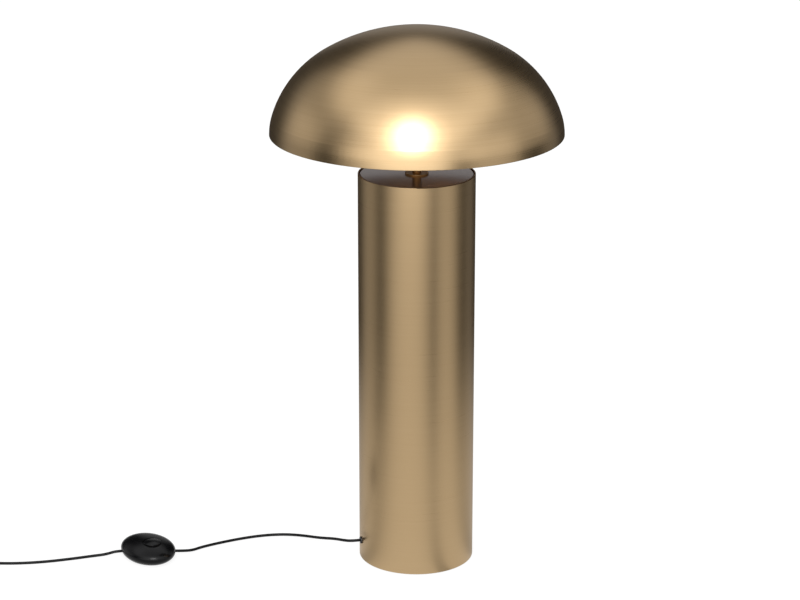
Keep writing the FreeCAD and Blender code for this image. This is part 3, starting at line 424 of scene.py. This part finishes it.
def plug_black():
    return moulded("plug_black", (0.018, 0.018, 0.019), (0.011, 0.011, 0.012), 0.36, 0.48)


def felt():
    """Pressed felt: tangled fibres."""
    material, tree, shader = surface("felt", sheen_weight=0.4, sheen_roughness=0.6)
    fibres = noise(tree, place(tree), 1100.0, detail=6.0, roughness=0.8)
    clouds = noise(tree, place(tree), 90.0, detail=3.0)
    tone = weighted(tree, fibres, 0.7, clouds, 0.3)
    dark, light = (0.012, 0.012, 0.013), (0.055, 0.055, 0.058)
    colour = mixed(tree, ranged(tree, tone, *NARROW_SPREAD), dark, light)
    roughness = ranged(tree, fibres, *NOISE_SPREAD, 0.85, 1.0)
    connect(tree, shader, colour, roughness, bump(tree, fibres, distance=0.0003, strength=0.8))
    return material


def opal_glass():
    """White opal glass of the bulb, unlit."""
    material, tree, shader = surface("opal_glass", coat_weight=0.6, coat_roughness=0.05,
                                     subsurface_weight=0.15, subsurface_scale=0.004)
    clouds = noise(tree, place(tree), 25.0)
    colour = mixed(tree, clouds, (0.80, 0.80, 0.785), (0.86, 0.86, 0.85))
    connect(tree, shader, colour, ranged(tree, clouds, *NOISE_SPREAD, 0.12, 0.2))
    return material


def make_materials():
    """One material for each slot of the record."""
    return {
        "column_brass": column_brass(), "shade_brass": shade_brass(), "cap_brass": plate_brass(),
        "zinc_steel": zinc_steel(), "ballast_iron": ballast_iron(), "base_steel": base_steel(),
        "felt": felt(), "holder_black": holder_black(), "switch_black": switch_black(),
        "ceramic": ceramic(), "contact_brass": contact_brass(), "lead_sheath": lead_sheath(),
        "core_brown": core_brown(), "tie_black": tie_black(), "foot_rubber": foot_rubber(),
        "opal_glass": opal_glass(), "bulb_white": bulb_white(), "bulb_alu": bulb_alu(),
        "insulator_black": insulator_black(), "plug_black": plug_black(),
        "pin_metal": pin_metal(),
    }


def dress(leads):
    """Every CAD node and the leads take the finish of their slot."""
    materials = make_materials()
    for part in frame["record"]["subparts"]:
        data = nodes[part["node"]].data
        data.materials.clear()
        data.materials.append(materials[part["material_slot"]])
    for lead in leads:
        lead.data.materials.append(materials["lead_sheath"])


def squash_spring():
    """The foot switch's spring gets its own copy of its mesh."""
    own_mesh(nodes["button_spring"])


# ---------------------------------------------------------------- studio
# soft panels round the lamp at its own height: azimuth from the camera towards +X, half width,
# level; a level below zero is a gap between two panels
PANELS = ((-14.0, 58.0, 0.85), (-100.0, 32.0, 0.42), (-74.0, 14.0, -0.22),
          (32.0, 10.0, -0.55), (58.0, 33.0, 0.70), (122.0, 18.0, 0.22))
BACK_PANEL = (180.0, 14.0, 0.28)
DARK_LEVEL = 0.03
# broad soft lights above the panels: azimuth, elevation, half width, level
GLOWS = ((-4.0, 17.0, 72.0, 1.05), (-108.0, 34.0, 42.0, 0.42), (92.0, 31.0, 48.0, 0.56))

# the ceiling starts at these rises of a direction, and ends where a direction leans out too far
CEILING_LEVEL = 0.84
CEILING_FROM, CEILING_FULL = 0.22, 0.55
CEILING_SIDE_SHARE, CEILING_BACK_SHARE = 0.77, 0.62
CEILING_END, CEILING_WHOLE = 1.22, 0.60
LEAST_RISE = 0.01

DULL_LIGHT = 0.75
DEEP_LEVEL, DEEP_TINT = 0.34, (1.0, 0.66, 0.32)
# the world counts one bounce more than the floor does for the same reflection
DEEP_IN_WORLD, DEEP_ON_FLOOR = 2.5, 1.5

FLOOR_SIZE = 30.0
FLOOR_GREY, FLOOR_PALE = (0.90, 0.90, 0.90), (0.93, 0.93, 0.93)
FLOOR_GLOW, FLOOR_GLOW_SHARE = 1.15, 0.75
NEAR_FLOOR, FAR_FLOOR = 0.25, 1.05
NEAR_FLOOR_LEVEL, NEAR_FLOOR_SHARE = 0.56, 0.42
PATCH_AZIMUTH = -3.0
PATCH_FROM, PATCH_FULL, PATCH_WIDTH, PATCH_LEVEL = 2.0, 3.0, 40.0, 1.5

KEY_TARGET = Vector((0.0, 0.0, 0.60))
KEY_AZIMUTH, KEY_ELEVATION, KEY_DISTANCE = -4.0, 33.0, 3.4
KEY_WIDTH, KEY_HEIGHT, KEY_RADIANCE = 1.5, 2.1, 7.0


def towards(azimuth, elevation=0.0):
    """The direction of an azimuth, counted from the camera towards +X, and an elevation."""
    turn, rise = math.radians(azimuth), math.radians(elevation)
    out = math.cos(rise)
    return Vector((math.sin(turn) * out, -math.cos(turn) * out, math.sin(rise)))


def lobe(tree, unit, way, half_width, strength):
    """A soft patch of light round a direction."""
    along = vector_calculate(tree, "DOT_PRODUCT", unit, tuple(way))["Value"]
    edge = math.cos(math.radians(half_width))
    return ranged(tree, along, edge, 1.0, 0.0, strength, smooth=True)


def level_way(tree, direction):
    """A direction without its rise, of unit length."""
    flat = vector_calculate(tree, "MULTIPLY", direction, (1.0, 1.0, 0.0))[0]
    return vector_calculate(tree, "NORMALIZE", flat)[0]


def panel_level(tree, direction, panels):
    """How bright the panels round the lamp are towards a direction."""
    unit = level_way(tree, direction)
    level = DARK_LEVEL
    for azimuth, half_width, strength in panels:
        panel = lobe(tree, unit, towards(azimuth), half_width, strength)
        level = calculate(tree, "ADD", level, panel)
    return calculate(tree, "MAXIMUM", calculate(tree, "MINIMUM", level, 1.0), 0.0)


def ceiling_level(tree, direction):
    """The pale ceiling: it ends sooner to the sides, and behind the lamp."""
    x, y, z = add(tree, "ShaderNodeSeparateXYZ", inputs={0: direction}).outputs
    rise = calculate(tree, "MAXIMUM", z, LEAST_RISE)
    side = calculate(tree, "DIVIDE", calculate(tree, "ABSOLUTE", x), rise)
    back = calculate(tree, "DIVIDE", calculate(tree, "MAXIMUM", y, 0.0), rise)
    out = weighted(tree, side, CEILING_SIDE_SHARE, back, CEILING_BACK_SHARE)
    return ranged(tree, out, CEILING_END, CEILING_WHOLE, 0.0, CEILING_LEVEL, smooth=True)


def deep_reflection(tree, path, strength, depth):
    """A reflection of a reflection is dimmer and browner, as between two sheets of brass."""
    again = calculate(tree, "GREATER_THAN", path.outputs["Ray Depth"], depth)
    deep = calculate(tree, "MULTIPLY", again, path.outputs["Is Glossy Ray"])
    dimmed = calculate(tree, "MULTIPLY", strength, blend(tree, deep, 1.0, DEEP_LEVEL))
    return dimmed, mixed(tree, deep, WHITE, DEEP_TINT)


def studio_reflection(tree):
    """How bright the studio looks in shiny surfaces."""
    direction = add(tree, "ShaderNodeTexCoord").outputs["Generated"]
    height = add(tree, "ShaderNodeSeparateXYZ", inputs={0: direction}).outputs["Z"]
    panels = panel_level(tree, direction, (*PANELS, BACK_PANEL))
    above = ranged(tree, height, CEILING_FROM, CEILING_FULL, smooth=True)
    level = blend(tree, above, panels, ceiling_level(tree, direction))
    for azimuth, elevation, half_width, strength in GLOWS:
        glow = lobe(tree, direction, towards(azimuth, elevation), half_width, strength)
        level = calculate(tree, "ADD", level, glow)
    return level


def make_world():
    """White to the camera, an even pale light on dull surfaces, and the studio in shiny ones."""
    world = bpy.data.worlds.new("studio")
    bpy.context.scene.world = world
    world.use_nodes = True
    tree = world.node_tree
    tree.nodes.clear()
    reflected = studio_reflection(tree)
    path = add(tree, "ShaderNodeLightPath")
    lit = blend(tree, path.outputs["Is Glossy Ray"], DULL_LIGHT, reflected)
    seen = calculate(tree, "MAXIMUM", path.outputs["Is Camera Ray"],
                     path.outputs["Is Transmission Ray"])
    shown = blend(tree, seen, lit, 1.0)
    strength, colour = deep_reflection(tree, path, shown, DEEP_IN_WORLD)
    background = add(tree, "ShaderNodeBackground", inputs={"Strength": strength, "Color": colour})
    output = add(tree, "ShaderNodeOutputWorld")
    tree.links.new(background.outputs[0], output.inputs["Surface"])


def floor_reflection(tree, here):
    """How bright the floor looks in shiny surfaces: even near the lamp, as the panels far off."""
    distance = vector_calculate(tree, "LENGTH", here)["Value"]
    panels = panel_level(tree, here, PANELS)
    near = calculate(tree, "ADD", calculate(tree, "MULTIPLY", panels, NEAR_FLOOR_SHARE),
                     NEAR_FLOOR_LEVEL)
    level = blend(tree, ranged(tree, distance, NEAR_FLOOR, FAR_FLOOR, smooth=True), near, panels)
    patch = lobe(tree, level_way(tree, here), towards(PATCH_AZIMUTH), PATCH_WIDTH, PATCH_LEVEL)
    far_off = ranged(tree, distance, PATCH_FROM, PATCH_FULL, smooth=True)
    return calculate(tree, "ADD", level, calculate(tree, "MULTIPLY", patch, far_off))


def floor_material():
    """White to the camera with the lamp's soft shadow, the studio's floor in shiny surfaces."""
    material = bpy.data.materials.new("floor")
    material.use_nodes = True
    tree = material.node_tree
    tree.nodes.clear()
    here = place(tree)
    path = add(tree, "ShaderNodeLightPath")
    strength, tint = deep_reflection(tree, path, floor_reflection(tree, here), DEEP_ON_FLOOR)
    light = {"Strength": strength, "Color": tint}
    reflected = add(tree, "ShaderNodeEmission", inputs=light).outputs[0]
    colour = mixed(tree, noise(tree, here, 30.0, detail=4.0), FLOOR_GREY, FLOOR_PALE)
    paint = add(tree, "ShaderNodeBsdfDiffuse", inputs={"Color": colour}).outputs[0]
    white = add(tree, "ShaderNodeEmission", inputs={"Strength": FLOOR_GLOW}).outputs[0]
    seen = shader_choice(tree, FLOOR_GLOW_SHARE, paint, white)
    lit = shader_choice(tree, path.outputs["Is Glossy Ray"], paint, reflected)
    above = shader_choice(tree, path.outputs["Is Camera Ray"], lit, seen)
    under = add(tree, "ShaderNodeBsdfTransparent").outputs[0]
    backfacing = add(tree, "ShaderNodeNewGeometry").outputs["Backfacing"]
    output = add(tree, "ShaderNodeOutputMaterial")
    whole = shader_choice(tree, backfacing, above, under)
    tree.links.new(whole, output.inputs["Surface"])
    return material


def make_floor():
    """Pale floor, see-through from below."""
    bpy.ops.mesh.primitive_plane_add(size=FLOOR_SIZE, location=(0.0, 0.0, 0.0))
    floor = bpy.context.object
    floor.name = "floor"
    floor.data.materials.append(floor_material())


def make_key():
    """An oval softbox above the camera, aimed at the shade."""
    way = towards(KEY_AZIMUTH, KEY_ELEVATION)
    data = bpy.data.lights.new("key", "AREA")
    data.shape = "ELLIPSE"
    data.size, data.size_y = KEY_WIDTH, KEY_HEIGHT
    area = KEY_WIDTH * KEY_HEIGHT * math.pi / 4
    data.energy = KEY_RADIANCE * math.pi * area
    key = placed("key", data)
    key.location = KEY_TARGET + way * KEY_DISTANCE
    key.rotation_euler = (-way).to_track_quat("-Z", "Y").to_euler()
    key.visible_camera = False


make_camera()
leads = make_leads()
dress(leads)
squash_spring()
make_world()
make_floor()
make_key()
bpy.context.scene.view_settings.view_transform = "Standard"
